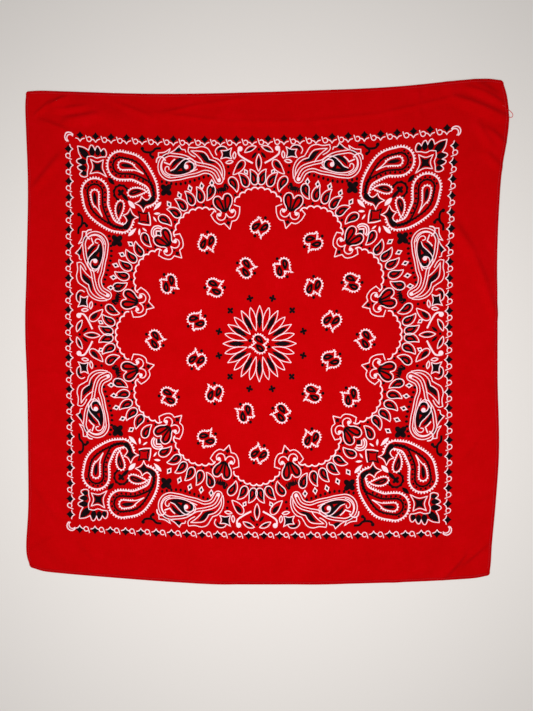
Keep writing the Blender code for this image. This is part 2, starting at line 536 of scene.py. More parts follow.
# node, side, runs along u
HEMS = (
    ("hem_top", 1, True),
    ("hem_bottom", -1, True),
    ("hem_right", 1, False),
    ("hem_left", -1, False),
)
for number, (node, side, level) in enumerate(HEMS):
    points, quads, flat, index = build_hem(node, side, level, SEED_STEP * number)
    points, quads, flat = close_ends(points, quads, flat, index, (side > 0) != level)
    hem = mesh_piece(node + "_rolled", points, quads, flat, hem_cotton)
    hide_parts(node)

# %% [markdown]
# ## The stitches
#
# One row of lockstitch holds each hem, in a thread a little lighter than the cloth. There are more
# than eight hundred stitches, so each is a small closed capsule of few faces: six-sided rings of growing
# and shrinking radius along a short line, all made at once and joined in one mesh.

# %% The stitches
STITCH_LENGTH = 2.0 * MM
STITCH_RADIUS = 0.19 * MM
RING_SIDES = 6
RING_SHARES = np.array([0.35, 0.95, 1.0, 0.95, 0.35])
TIP_SHARE = 0.4
STITCH_END_GAP = 4 * MM
TWIST_SCALE = 1600
# Thread red from the grooves to the crests of the twist: the spread between them is painted shade and
# highlight.
THREAD_COLOURS_TWIST_SHADE = ((0.0, (0.46, 0.004, 0.01)), (1.0, (0.70, 0.02, 0.035)))


def sewing_thread():
    """Twisted cotton thread: fine diagonal waves in the bump and in the colour, on the piece's own
    coordinates. The grooves are painted darker and the crests lighter: painted shade and highlight of the
    twist.
    """
    material, tree, shader = new_material("sewing_thread", 0.7, 0.25, 0.1, 0.4, (1.0, 0.5, 0.5))
    place = tree.nodes.new("ShaderNodeTexCoord")
    node = tree.nodes.new("ShaderNodeTexWave")
    node.bands_direction = "DIAGONAL"
    node.inputs["Scale"].default_value = TWIST_SCALE
    tree.links.new(place.outputs["Object"], node.inputs["Vector"])
    colour = colour_ramp(tree, node.outputs["Fac"], THREAD_COLOURS_TWIST_SHADE)
    tree.links.new(colour, shader.inputs["Base Color"])
    bump_into(tree, shader, node.outputs["Fac"], 0.05 * MM, 0.4)
    return material


thread_material = sewing_thread()


def capsules(starts, ends, radius):
    """Closed capsules from starts to ends: rings of RING_SIDES points and a fan at each end."""
    count, rings = len(starts), len(RING_SHARES)
    run = ends - starts
    length = np.linalg.norm(run, axis=1, keepdims=True)
    forward = run / length
    sideways = np.cross(np.array([0.0, 0.0, 1.0]), forward)
    sideways /= np.linalg.norm(sideways, axis=1, keepdims=True)
    upward = np.cross(forward, sideways)
    share = np.linspace(0.0, 1.0, rings)
    turn = np.linspace(0, 2 * math.pi, RING_SIDES, endpoint=False)
    middle = starts[:, None] + run[:, None] * share[None, :, None]
    cosine, sine = np.cos(turn)[None, :, None], np.sin(turn)[None, :, None]
    spoke = sideways[:, None] * cosine + upward[:, None] * sine
    ring = middle[:, :, None] + radius * RING_SHARES[None, :, None, None] * spoke[:, None]
    points = ring.reshape(count, -1, 3)
    tip = forward * radius * TIP_SHARE
    tips = np.stack([starts - tip, ends + tip], axis=1)
    points = np.concatenate([points, tips], axis=1)
    index = np.arange(rings * RING_SIDES).reshape(rings, RING_SIDES)
    onward = np.roll(index, -1, axis=1)
    walls = np.stack([index[:-1], onward[:-1], onward[1:], index[1:]], axis=-1).reshape(-1, 4)
    first = np.stack([onward[0], index[0], np.full(RING_SIDES, index.size)], axis=1)
    last = np.stack([index[-1], onward[-1], np.full(RING_SIDES, index.size + 1)], axis=1)
    split = np.concatenate([walls[:, [0, 1, 2]], walls[:, [0, 2, 3]], first, last])
    faces = (split[None] + (np.arange(count) * points.shape[1])[:, None, None]).reshape(-1, 3)
    return points.reshape(-1, 3), faces


def stitch_ends(side, level, seed):
    """Both ends of each stitch of one hem, on the bottom of the stitch groove."""
    half = (HALF_WIDTH if level else HALF_LENGTH - HEM_WIDTH) - STITCH_END_GAP
    count = int(2 * half / STITCH_PITCH)
    middle = (np.arange(count) - (count - 1) / 2) * STITCH_PITCH + STITCH_PITCH / 2
    out = np.full(count, 1 - STITCH_INSET / HEM_WIDTH)
    wander = 0.05 * np.sin(middle / MM / 5.0 + seed)
    ends = []
    for step in (-0.5, 0.5):
        along = middle + step * STITCH_LENGTH
        u, v = hem_flat(along, out + wander, side, level)
        ends.append(laid(u, v, hem_height(along, out + wander, seed) + 0.3 * STITCH_RADIUS))
    return ends


stitch_points, stitch_faces, total = [], [], 0
for number, (_node, side, level) in enumerate(HEMS):
    start, end = stitch_ends(side, level, SEED_STEP * number)
    points, faces = capsules(start, end, STITCH_RADIUS)
    stitch_points.append(points)
    stitch_faces.append(faces + total)
    total += len(points)
stitch_points = np.concatenate(stitch_points)
stitches = mesh_piece(
    "hem_stitches", stitch_points, np.concatenate(stitch_faces), stitch_points[:, :2], thread_material
)

# %% [markdown]
# ## Drawing with a screen
#
# The print is two screens of pigment, a pinkish white and a black, laid on the dyed cloth. It could
# be a picture on the material, but a picture blurs close up and this script uses none. Here each
# stroke is a film of ink of its own: a closed sliver of mesh whose top lies just over the threads
# and whose keel lies inside the cloth, so its edge is crisp at any distance.
#
# The strokes are drawn flat first, in millimetres from the middle of the print. A place is one
# complex number, x + iy, because then a quarter turn is one product and a mirror is one conjugate.

# %% Lines
LINE_STEP = 1.3
NARROWEST = 0.4


def smooth(rows, closed=False, step=LINE_STEP):
    """Line through a few (x, y) points by cubic spans.

    At a point the line heads along the sum of the unit chords on its two sides, as strongly as the
    span's chord is long. A third value marks a sharp point, where each span keeps its own chord.
    """
    place = np.array([complex(row[0], row[1]) for row in rows])
    sharp = np.array([len(row) > 2 for row in rows])
    if closed:
        place, sharp = np.append(place, place[0]), np.append(sharp, sharp[0])
    chord = np.diff(place)
    unit = chord / abs(chord)
    before = np.concatenate([unit[-1:] if closed else unit[:1], unit])
    after = np.concatenate([unit, unit[:1] if closed else unit[-1:]])
    bisector = (before + after) / np.maximum(abs(before + after), 1e-9)
    leave = np.where(sharp, after, bisector)[:-1] * abs(chord)
    arrive = np.where(sharp, before, bisector)[1:] * abs(chord)
    counts = np.maximum(1, np.ceil(abs(chord) / step)).astype(int)
    span = np.repeat(np.arange(len(counts)), counts)
    t = (np.arange(counts.sum()) - (np.cumsum(counts) - counts)[span]) / counts[span]
    line = place[span] * (2 * t**3 - 3 * t**2 + 1) + place[span + 1] * (3 * t**2 - 2 * t**3)
    line = line + leave[span] * (t**3 - 2 * t**2 + t) + arrive[span] * (t**3 - t**2)
    return line if closed else np.append(line, place[-1])


def evenly(line, pitch, closed=False, multiple=1):
    """The same line in even steps near the pitch, as many of them as a multiple."""
    line = np.append(line, line[0]) if closed else line
    run = np.append(0, np.cumsum(abs(np.diff(line))))
    count = multiple * max(2, round(run[-1] / pitch / multiple))
    place = np.linspace(0, run[-1], count + 1)
    points = np.interp(place, run, line.real) + 1j * np.interp(place, run, line.imag)
    return points[:-1] if closed else points


def arc(centre, radius, start, end, step=1.2):
    """Part of a circle, from one angle in degrees to another."""
    count = max(4, int(abs(math.radians(end - start)) * radius / step))
    return centre + radius * np.exp(1j * np.radians(np.linspace(start, end, count)))


def spine(rows, step=LINE_STEP):
    """Middle line and half-widths through (x, y, half-width) rows; the widths follow the run."""
    line = smooth([row[:2] for row in rows], step=step)
    chords = np.append(0, np.cumsum(abs(np.diff([complex(row[0], row[1]) for row in rows]))))
    profile = smooth([(run, row[2]) for run, row in zip(chords, rows)], step=step)
    run = np.append(0, np.cumsum(abs(np.diff(line))))
    return line, np.interp(run / run[-1], profile.real / profile.real[-1], profile.imag)


def around(rows, inset=0.0, step=LINE_STEP, open_tail=False):
    """Outline round a spine, counterclockwise: right side, end arc, left side, head arc.

    With an open tail it starts at the tail's left side and ends at its right one, with no end arc.
    """
    line, width = spine(rows, step)
    width = np.maximum(width - inset, NARROWEST)
    heading = np.gradient(line)
    heading = heading / abs(heading)
    sides = []
    for at, start in ((-1, -90), (0, 90)):
        count = max(3, int(math.pi * width[at] / step))
        turn = np.radians(np.linspace(start, start + 180, count)[1:-1])
        sides.append(line[at] + width[at] * heading[at] * np.exp(1j * turn))
    right, left = line - 1j * heading * width, line + 1j * heading * width
    if open_tail:
        return np.concatenate([left[::-1], sides[1], right])
    return np.concatenate([right, sides[0], left[::-1], sides[1]])


def leaf_line(start, end, half, bow=0.0, skew=1.0, count=11):
    """Middle line and half-widths of a leaf.

    The line is bowed by 4 bow t (1 - t), and the half-width is half sin(pi t^skew)^0.75. A skew of
    1 gives a leaf with two points. A skew near 0.6 gives a seed with a round head.
    """
    t = 0.5 - 0.5 * np.cos(np.linspace(0, math.pi, count))
    run = end - start
    middle = start + run * t + 1j * run / abs(run) * bow * 4 * t * (1 - t)
    return middle, half * np.sin(math.pi * np.clip(t, 0, 1) ** skew).clip(0) ** 0.75


def leaf_edge(start, end, half, bow=0.0, skew=1.0, count=11):
    """Closed outline of a leaf, counterclockwise."""
    middle, width = leaf_line(start, end, half, bow, skew, count)
    heading = np.gradient(middle)
    reach = 1j * heading / abs(heading) * width
    return np.concatenate([middle - reach, (middle + reach)[-2:0:-1]])


def star_edge(centre, reach, hollow=0.6, turn=0.0, count=24):
    """Closed star of four points, |cos a|^h + |sin a|^h = (reach / r)^h, with hollow sides."""
    angle = np.linspace(0, 2 * math.pi, count, endpoint=False)
    radius = reach * (abs(np.cos(angle)) ** hollow + abs(np.sin(angle)) ** hollow) ** (-1 / hollow)
    return centre + radius * np.exp(1j * (angle + math.radians(turn)))


def flower_edge(centre, reach, waist, power, turn=0.0, count=32):
    """Closed flower of four petals: radius = reach (waist + (1 - waist) |cos 2a|^power)."""
    angle = np.linspace(0, 2 * math.pi, count, endpoint=False)
    radius = reach * (waist + (1 - waist) * abs(np.cos(2 * angle)) ** power)
    return centre + radius * np.exp(1j * (angle + math.radians(turn)))


def xy(x, y):
    """A place on the flat print, in millimetres."""
    return complex(x, y)


print("a circle's quarter:", np.round(arc(0, 10, 0, 90), 2)[[0, -1]])

# %% [markdown]
# A film is its points, the level of each one (1 on the top face, 0 at the keel) and its triangles.
# A stroke is a ribbon with a keel under its middle line. Its corners are mitred. A spot is a fan
# from its middle, and the same fan turned over down to one keel point.

# %% Films of ink
FINE_LINE = 1.02
THINNEST = 0.15
MITRE_LIMIT = 0.55


def ribbon(line, left, right=None, closed=False):
    """Stroke with edges this far to the left and right of a line, and a keel under it."""
    right = left if right is None else right
    ahead, behind = np.roll(line, -1) - line, line - np.roll(line, 1)
    if not closed:
        ahead[-1], behind[0] = behind[-1], ahead[0]
    ahead, behind = ahead / abs(ahead), behind / abs(behind)
    heading = (ahead + behind) / np.maximum(abs(ahead + behind), 1e-9)
    mitre = 1 / np.maximum((heading * np.conj(ahead)).real, MITRE_LIMIT)
    across = 1j * heading * mitre
    points = np.concatenate([line + across * left, line - across * right, line])
    count = len(line)
    here = np.arange(count if closed else count - 1)
    onward = (here + 1) % count
    left_0, left_1, right_0, right_1 = here, onward, here + count, onward + count
    keel_0, keel_1 = here + 2 * count, onward + 2 * count
    triangles = (
        (right_0, right_1, left_1),
        (right_0, left_1, left_0),
        (right_0, keel_0, keel_1),
        (right_0, keel_1, right_1),
        (left_0, keel_1, keel_0),
        (left_0, left_1, keel_1),
    )
    faces = np.concatenate([np.stack(t, axis=1) for t in triangles])
    if not closed:
        caps = [[0, 2 * count, count], [2 * count - 1, 3 * count - 1, count - 1]]
        faces = np.concatenate([faces, caps])
    return points, np.repeat([1.0, 1.0, 0.0], count), faces


def spot(edge):
    """Filled outline that its middle sees whole: a fan on top and a fan down to the keel."""
    count = len(edge)
    if np.sum((np.conj(edge) * np.roll(edge, -1)).imag) < 0:
        edge = edge[::-1]
    points = np.concatenate([edge, [edge.mean(), edge.mean()]])
    here = np.arange(count)
    onward = (here + 1) % count
    top = np.stack([here, onward, np.full(count, count)], axis=1)
    under = np.stack([onward, here, np.full(count, count + 1)], axis=1)
    return points, np.append(np.ones(count + 1), 0.0), np.concatenate([top, under])


def line_film(rows, width=FINE_LINE, closed=False, step=LINE_STEP):
    """Stroke of even width through a few points."""
    return ribbon(smooth(rows, closed, step), width / 2, closed=closed)


def edge_film(edge, width=FINE_LINE):
    """Stroke of even width along a closed outline."""
    return ribbon(edge, width / 2, closed=True)


def leaf_film(start, end, half, bow=0.0, skew=1.0, count=9):
    """Filled leaf: a ribbon as wide as the leaf."""
    middle, width = leaf_line(start, end, half, bow, skew, count)
    return ribbon(middle, np.maximum(width, THINNEST))


def spine_film(rows, step=LINE_STEP):
    """Filled shape that widens and narrows along a spine of (x, y, half-width) rows."""
    line, width = spine(rows, step)
    return ribbon(line, np.maximum(width, THINNEST))


def dot(centre, radius, stretch=1.0, turn=0.0):
    """Round or oval spot of eight sides, or sixteen where it is large."""
    sides = 8 if radius < 2 else 16
    circle = np.exp(2j * math.pi * (np.arange(sides) + 0.5) / sides)
    oval = radius * (circle.real + 1j * stretch * circle.imag)
    return spot(centre + oval * np.exp(1j * math.radians(turn)))


def comb(edge, width, tooth, pitch, closed=True):
    """Stroke with teeth on its right side: of four steps to a tooth, the middle two are long."""
    line = evenly(edge, pitch / 4, closed, multiple=4)
    long = np.isin(np.arange(len(line)) % 4, (1, 2))
    return ribbon(line, width / 2, width / 2 + tooth * long, closed)


prints = {"white": [], "black": []}
ONCE = ((1, False, 0),)
QUARTERS = tuple((1j**turn, False, 0) for turn in range(4))
EIGHTHS = QUARTERS + tuple((1j**turn, True, 0) for turn in range(4))


def stamp(colour, films, copies=ONCE, centre=0, size=1.0):
    """Prints films once for each (factor, mirrored, shift): factor times the place, plus the shift."""
    for factor, mirrored, shift in copies:
        for points, level, faces in films:
            moved = size * factor * (np.conj(points) if mirrored else points) + shift + centre
            prints[colour].append((moved, level, faces[:, ::-1] if mirrored else faces))


def count_prints():
    """How many triangles each colour has so far."""
    return {colour: sum(len(film[2]) for film in films) for colour, films in prints.items()}


# %% [markdown]
# ## The border
#
# One repeat of the border is a black diamond with a white brace under it, then a white loop. The
# loops of the two upright sides are turned the other way out. Each side is drawn as the top one,
# along its own level, and then turned to its place. A small moon fills each corner.

# %% The border
REPEATS = 24
# factor, mirrored, level at the middle of the side, rise towards its ends, pitch, shift along it,
# how far out its braces and its loops sit, loops turned out
BORDER_SIDES = (
    (1, False, 226.0, 3.0, 18.68, 0.5, 0.0, 0.0, False),
    (-1, False, 226.3, 2.4, 18.72, 1.8, 2.0, 2.6, False),
    (1j, False, 228.6, 0.0, 18.52, 0.8, 1.3, 0.0, True),
    (1j, True, 223.2, 1.6, 18.42, -1.7, 1.8, 0.0, True),
)


def border_loop(turned_out):
    """A ring with a tail that starts off the other way, as in a hand-drawn b."""
    ring = arc(xy(1.5, -3.2), 2.7, 185, 500, step=1.0)
    tail = smooth([(-2.6, 1.2), (-2.1, -0.8), (ring[0].real, ring[0].imag)], step=1.1)
    loop = np.concatenate([tail[:-1], ring])
    return ribbon(np.conj(loop) - 2.2j if turned_out else loop, FINE_LINE / 2)


brace = line_film([(-5.4, -2.6), (-2.2, -3.6), (0, -6.2, 1), (2.2, -3.6), (5.4, -2.6)])
diamond = spot(star_edge(0.7j, 4.7, 0.84))
for factor, mirrored, level, rise, pitch, start, brace_out, loop_out, turned_out in BORDER_SIDES:
    last = (REPEATS - 1) / 2
    side = ((factor, mirrored, 0),)
    for number in range(2 * REPEATS - 1):
        step = number / 2 - last
        place = xy(step * pitch + start, level + rise * (step / last) ** 2)
        if mirrored:
            place = place.conjugate()
        out = -1j if mirrored else 1j
        if number % 2:
            stamp("white", [border_loop(turned_out)], side, factor * (place + loop_out * out))
            continue
        stamp("white", [brace], side, factor * (place + brace_out * out))
        stamp("black", [diamond], side, factor * place)


MOONS = (xy(-227.3, 226.8), xy(225, 225.5), xy(-227.3, -225.8), xy(225, -225.8))
for place in MOONS:
    outward = math.degrees(math.atan2(place.imag, place.real))
    away = np.exp(1j * math.radians(outward))
    outer = arc(place, 5.4, outward - 105, outward + 105)
    inner = arc(place - 1.6 * away, 4.2, outward - 100, outward + 100)
    stamp("white", [ribbon(outer, 0.65), ribbon(inner, 0.6)])
print("after the border:", count_prints())

# %% [markdown]
# ## The medallion
#
# Twelve lobes ring the open middle. A lobe's line is an arc whose radius swells in small scallops.
# Between two lobes stands a lily that points inwards, and outside each lobe a row of seeds with
# curled tips follows its arc. A seed is a white outline round a black ring, with the red showing in
# its heart.

# %% The medallion's lobes and lilies
MEDALLION = xy(-1.7, 2.1)
MEDALLION_SIZE = 1.012
LOBE_HALF_TURN = 57
SCALLOPS = 8
# direction in degrees, distance of the lobe's own middle, radius, copies
STRAIGHT_LOBE = (90, 134.5, 33.0, QUARTERS)
SLANTED_LOBE = (120, 128.8, 34.0, EIGHTHS)


def turns(count, start=0.0):
    """Copies turned about the middle, evenly round the circle, from a start in degrees."""
    return tuple((np.exp(1j * math.radians(start + 360 * k / count)), False, 0) for k in range(count))


def lobe(direction, out, radius):
    """Arc about a point at a distance out, whose radius swells in SCALLOPS small bows."""
    angle = np.linspace(-LOBE_HALF_TURN, LOBE_HALF_TURN, SCALLOPS * 6 + 1)
    scallop = abs(np.sin(math.pi * SCALLOPS * (angle + LOBE_HALF_TURN) / (2 * LOBE_HALF_TURN))) ** 0.8
    line = out + (radius - 0.8 + 2.0 * scallop) * np.exp(1j * np.radians(angle))
    return line * np.exp(1j * math.radians(direction))


def both_sides(films):
    """Films and their mirror images across the y axis."""
    mirrored = [(-np.conj(points), level, faces[:, ::-1]) for points, level, faces in films]
    return films + mirrored


LILY_WHITE = both_sides([
    line_film([
        (0, 126.4, 1), (4.6, 134.4, 1), (9.6, 134.4), (14.6, 139.4), (17.6, 147.4, 1), (11.4, 151.6, 1),
    ]),
    line_film([
        (0, 160.6, 1), (3.4, 165.4), (8.6, 165.2), (11.4, 160), (9.4, 153.4), (5.6, 148.8), (5.0, 145.8),
    ]),
    line_film([(9.6, 147.2), (11.2, 143.4), (9.2, 139.6), (4.8, 138.6), (1.6, 140.8), (0, 144.8, 1)]),
    dot(xy(7.6, 145.2), 2.1),
])
LILY_BLACK = both_sides([
    edge_film(leaf_edge(xy(6.9, 163.4), xy(1.2, 147.4), 3.1, 0.8, 0.6, 12), 2.4),
]) + [spot(star_edge(133.8j, 2.9, 0.9)), dot(138.8j, 1.2)]

for direction, out, radius, copies in (STRAIGHT_LOBE, SLANTED_LOBE):
    stamp("white", [ribbon(lobe(direction, out, radius), 0.7)], copies, MEDALLION, MEDALLION_SIZE)
stamp("white", LILY_WHITE, turns(12, 15), MEDALLION, MEDALLION_SIZE)
stamp("black", LILY_BLACK, turns(12, 15), MEDALLION, MEDALLION_SIZE)
print("after the lobes and lilies:", count_prints())


# %% The medallion's seeds
def seed(head, tip, half, bow):
    """White outline of a seed, and the black ring inside it."""
    run = (tip - head) / abs(tip - head)
    inner = leaf_edge(head + 2.4 * run, tip - 4.6 * run, half - 2.4, 0.6 * bow, 0.62, 10)
    return edge_film(leaf_edge(head, tip, half, bow, 0.62, 14)), edge_film(inner, 2.5)


SEED_LENGTH = 17.6
SEED_HALF = 4.9
# turn about the lobe's middle in degrees, distance from it, tip outwards or inwards, way it curls
STRAIGHT_SEEDS = (
    (39.0, 46.8, -1, 1),
    (23.5, 45.8, 1, 1),
    (8.8, 45.8, 1, 1),
    (-8.8, 45.8, 1, -1),
    (-23.5, 45.8, 1, -1),
    (-39.0, 46.8, -1, -1),
)
SLANTED_SEEDS = (
    (38.0, 48.6, -1, 1),
    (21.5, 45.0, 1, 1),
    (6.0, 46.4, 1, 1),
    (-9.0, 48.0, 1, 1),
    (-23.5, 49.4, 1, 1),
    (-37.5, 51.8, -1, 1),
)
SEED_DOTS = (-46, -31, -16, 0, 16, 31, 46)
SEEDED_LOBES = ((STRAIGHT_LOBE, STRAIGHT_SEEDS), (SLANTED_LOBE, SLANTED_SEEDS))
for (direction, out, radius, copies), seeds in SEEDED_LOBES:
    middle = out * np.exp(1j * math.radians(direction))
    white, black = [], []
    for turned, distance, outwards, curl in seeds:
        along = np.exp(1j * math.radians(direction + turned))
        place = middle + distance * along
        half_run = SEED_LENGTH / 2 * (outwards * along + 0.12 * curl * 1j * along)
        outline, ring = seed(place - half_run, place + half_run, SEED_HALF, -2.6 * curl * outwards)
        white.append(outline)
        black.append(ring)
    for turned in SEED_DOTS:
        black.append(dot(middle + (radius + 3.9) * np.exp(1j * math.radians(direction + turned)), 1.6))
    stamp("white", white, copies, MEDALLION, MEDALLION_SIZE)
    stamp("black", black, copies, MEDALLION, MEDALLION_SIZE)

# Small lozenges stand between the tips of the seeds, and strokes fill in behind the lilies.
# x, y, tilt in degrees, size
LOZENGES = (
    (-107.4, 153.6, 34, 0.85),
    (-95, 164, 22, 0.85),
    (-82.4, 171.8, 18, 0.85),
    (-68.4, 174.6, 8, 0.85),
    (-56.4, 177.8, 3, 0.85),
    (-16, 190, 30, 0.7),
)
for x, y, tilt, size in LOZENGES:
    edge = star_edge(0, 4.3 * size, 0.95, count=16)
    edge = (0.66 * edge.real + 1j * edge.imag) * np.exp(1j * math.radians(tilt))
    stamp("white", [edge_film(xy(x, y) + edge, 1.2)], EIGHTHS)
    stamp("black", [spot(xy(x, y) + 0.68 * edge)], EIGHTHS)

hatching = []
for k in range(-3, 4):
    foot, tip = xy(2.5 * k, 166.5 + abs(k)), xy(2.9 * k + 1.6, 174.6)
    hatching.append(leaf_film(foot, tip, 1.15, 1.4 - 0.3 * k))
for k in range(-1, 2):
    hatching.append(leaf_film(xy(-8, 170 + 1.7 * k), xy(3, 172 + 1.1 * k), 0.9, 0.8))
hatching += [dot(xy(-7.4, 175), 2.2), dot(xy(7, 175), 2.0)]
BEHIND_LILIES = [(f * np.exp(1j * math.radians(15 if m else -15)), m, 0) for f, m, _ in EIGHTHS]
stamp("black", hatching, BEHIND_LILIES, MEDALLION, MEDALLION_SIZE)

# Nested open squares stand on the diagonals, round a black square.
NESTED_PLACES = [(f, m, f * xy(-119.3, 119.3)) for f, m, _ in QUARTERS]
nested = (
    ((4.2, 6.4), (1.2, 9.0), (-5.4, 8.8), (-8.6, 5.4), (-8.8, -1.4), (-6.2, -4.4)),
    ((3.2, 5.2), (0.4, 6.8), (-4.2, 6.4), (-6.4, 4.2), (-6.6, -0.6), (-5.0, -3.4)),
    ((2.6, 3.6), (-3.6, 3.6, 1), (-3.6, -2.6)),
)
stamp("white", [line_film(rows, 1.4) for rows in nested], NESTED_PLACES)
stamp("black", [spot(star_edge(0, 3.0, 1.4, 45))], NESTED_PLACES)
print("after the seeds:", count_prints())

# %% [markdown]
# ## The open field
#
# A daisy of twenty-four petals holds the middle, in two rows of twelve. A ring of small crosses and
# two rings of paired seeds stand round it. A pair is two black ring seeds head to tail inside one
# toothed white line, with a black dot at each side. Every pair in the outer ring is turned with its
# place on the ring, and the inner ones lie across it.

# %% The daisy and the crosses
DAISY = xy(1, -4.7)
PETALS = 12
PETAL_LINE = 0.9
behind = [ribbon(smooth([(0, 43.8, 1), (2.9, 36), (3.9, 29), (3.3, 24)]), PETAL_LINE / 2)]
behind += [ribbon(smooth([(0, 43.8, 1), (-2.9, 36), (-3.9, 29), (-3.3, 24)]), PETAL_LINE / 2)]
front = [edge_film(leaf_edge(xy(0, 15.5), xy(0, 42.5), 3.4, 0, 1.2, 12), PETAL_LINE)]
stamp("white", behind, turns(PETALS), DAISY)
stamp("white", front, turns(PETALS, 15), DAISY)
stamp("black", [leaf_film(xy(0, 17.5), xy(0, 37), 2.7)], turns(PETALS), DAISY)

for factor, _mirrored, _shift in turns(PETALS, 15):
    place = xy(2.8, -4.7) + xy(52 * factor.real, 53.5 * factor.imag)
    stamp("black", [spot(flower_edge(place, 4.3, 0.42, 0.85, math.degrees(np.angle(factor)), 24))])


# %% The paired seeds
def pair():
    """Two seeds head to tail in a toothed line, which is one half and its half turn."""
    half = smooth([
        (11.2, 1.3, 1), (8.0, 3.0), (5.9, 7.0), (2.2, 10.2), (-2.6, 10.4), (-5.8, 7.6), (-5.7, 4.6),
        (-3.8, 2.2, 1), (-7.6, 0.6), (-11.2, -1.3, 1),
    ], step=1.0)
    edge = np.concatenate([half[:-1], -half[:-1]])
    black = []
    for turned in (1, -1):
        black.append(edge_film(turned * leaf_edge(xy(-1.9, 8.4), xy(3.3, 1.0), 2.0, 0.3, 0.75, 9), 2.6))
        black.append(dot(turned * xy(-10.2, 6.2), 1.9))
    return [comb(edge, 0.95, 1.4, 2.7)], black


pair_white, pair_black = pair()
# centre of the ring, half-axes, first angle and turn of the pair beyond the ring's angle
PAIR_RINGS = ((xy(1, -2), 125.5, 130, 0, 0), (xy(6, -1.5), 83, 86, 15, 77))
pair_places = [(np.exp(1j * math.radians(14)), False, DAISY)]
for centre, across, upright, first, turned in PAIR_RINGS:
    for number in range(12):
        angle = math.radians(first + 30 * number)
        place = centre + xy(across * math.cos(angle), upright * math.sin(angle))
        pair_places.append((np.exp(1j * (angle + math.radians(turned))), False, place))
stamp("white", pair_white, pair_places)
stamp("black", pair_black, pair_places)
print("after the field:", count_prints())

# %% [markdown]
# ## The corners
#
# Each corner of the print is its own mirror image across the diagonal, so one half is drawn, in the
# top left corner, and stamped eight times. From the outside in, it has a fan of leaves, a hollow
# star, two great paisleys that curl towards each other, and small figures between them.
#
# A great paisley is a spine of few rows, each a place and a half-width. Every line in it is that
# same spine with a smaller width: the toothed edge, the black line and the row of dots.

# %% The fan and the star
FRAME_CENTRE = xy(-1.0, 0.6)

fan = line_film([
    (-182.6, 205.2, 1), (-181.6, 209), (-184.6, 214.6), (-188.4, 211.6, 1), (-190.6, 216), (-192.8, 217.2),
    (-195.4, 212.6, 1), (-198, 217.4), (-200, 218.4), (-203.4, 212.4, 1), (-209, 215.4), (-216.8, 216.8, 1),
])
# start x, start y, end x, end y, half-width, in mm
FAN_LEAVES = (
    (-203.6, 203.6, -215.2, 215.4, 3.9),
    (-198.6, 206.0, -199.8, 217, 3.4),
    (-192, 206.2, -192.6, 216, 3.2),
    (-185.6, 206, -186.6, 213.6, 2.9),
)
stamp("white", [fan], EIGHTHS, FRAME_CENTRE)
fan_leaves = [leaf_film(xy(a, b), xy(c, d), half, 0.0, 0.8, 12) for a, b, c, d, half in FAN_LEAVES]
stamp("black", fan_leaves, EIGHTHS, FRAME_CENTRE)


def hollow_star(corners, centre, pull):
    """Closed line through sharp corners, each side's middle drawn towards the centre by a share."""
    rows = []
    for corner, following in zip(corners, corners[1:] + corners[:1]):
        middle = (1 - pull) * (corner + following) / 2 + pull * centre
        rows += [(corner.real, corner.imag, 1), (middle.real, middle.imag)]
    return smooth(rows, closed=True)


STAR = xy(-192.6, 193.6)
STAR_CORNERS = [xy(-201, 202), xy(-201.8, 185.6), xy(-181.8, 182.8), xy(-185.6, 201.8)]
stamp("white", [edge_film(hollow_star(STAR_CORNERS, STAR, 0.32))], QUARTERS, FRAME_CENTRE)
inner_star = STAR + 0.74 * (hollow_star(STAR_CORNERS, STAR, 0.42) - STAR)
stamp("black", [spot(inner_star)], QUARTERS, FRAME_CENTRE)
beyond = line_film([(-205, 205, 1), (-199, 205.6), (-193.8, 203.8), (-188, 205), (-182.6, 205.2)])
stamp("white", [beyond], EIGHTHS, FRAME_CENTRE)

# %% The great paisleys
GREAT = (
    (-164.5, 196, 16.2),
    (-149, 193.6, 14.4),
    (-136.4, 184.8, 10.2),
    (-127.4, 174.5, 6.2),
    (-124.2, 162, 4.6),
)
hook = smooth([(-133.4, 149.8), (-128, 151.6), (-122.6, 155.4), (-119.8, 161.4)])
great_edge = np.concatenate([hook, around(GREAT, 0.4, open_tail=True)])
great_line = around(GREAT, 7.0, open_tail=True)
bumps = 1.1 + 0.9 * (np.arange(len(great_line)) % 3 == 0)
great_white = [comb(great_edge, 1.3, 1.8, 3.2, closed=False)]
great_black = [ribbon(great_line, 1.0, bumps)]
dotted = evenly(around(GREAT, 3.9, open_tail=True), 5.6)
great_black += [dot(place, 1.45) for place in dotted[int(0.47 * len(dotted)) : -4]]

# The drop in its head has teeth round its own head only, and a tail of two fine lines.
DROP = ((-162.4, 196.2, 4.9), (-154, 195.4, 3.9), (-148.4, 193.6, 2.5))
great_white.append(comb(around(DROP, open_tail=True), 1.05, 1.2, 2.8, closed=False))
great_white.append(line_film([(-149, 196.4), (-143.6, 191.6), (-137, 187)], 1.1))
great_white.append(line_film([(-149.4, 191.4), (-144, 190), (-137, 187)], 1.1))
great_black.append(leaf_film(xy(-164.4, 196.6), xy(-149.6, 194.4), 2.2, 0.6, 0.8))

small_edge = leaf_edge(xy(-155.6, 163.4), xy(-134, 167), 4.7, 1.4, 0.65, 16)
great_white.append(comb(small_edge, 1.0, 1.1, 2.8))
great_black.append(edge_film(leaf_edge(xy(-152.6, 164.2), xy(-141, 167.4), 1.6, 0.8, 0.7, 9), 2.2))

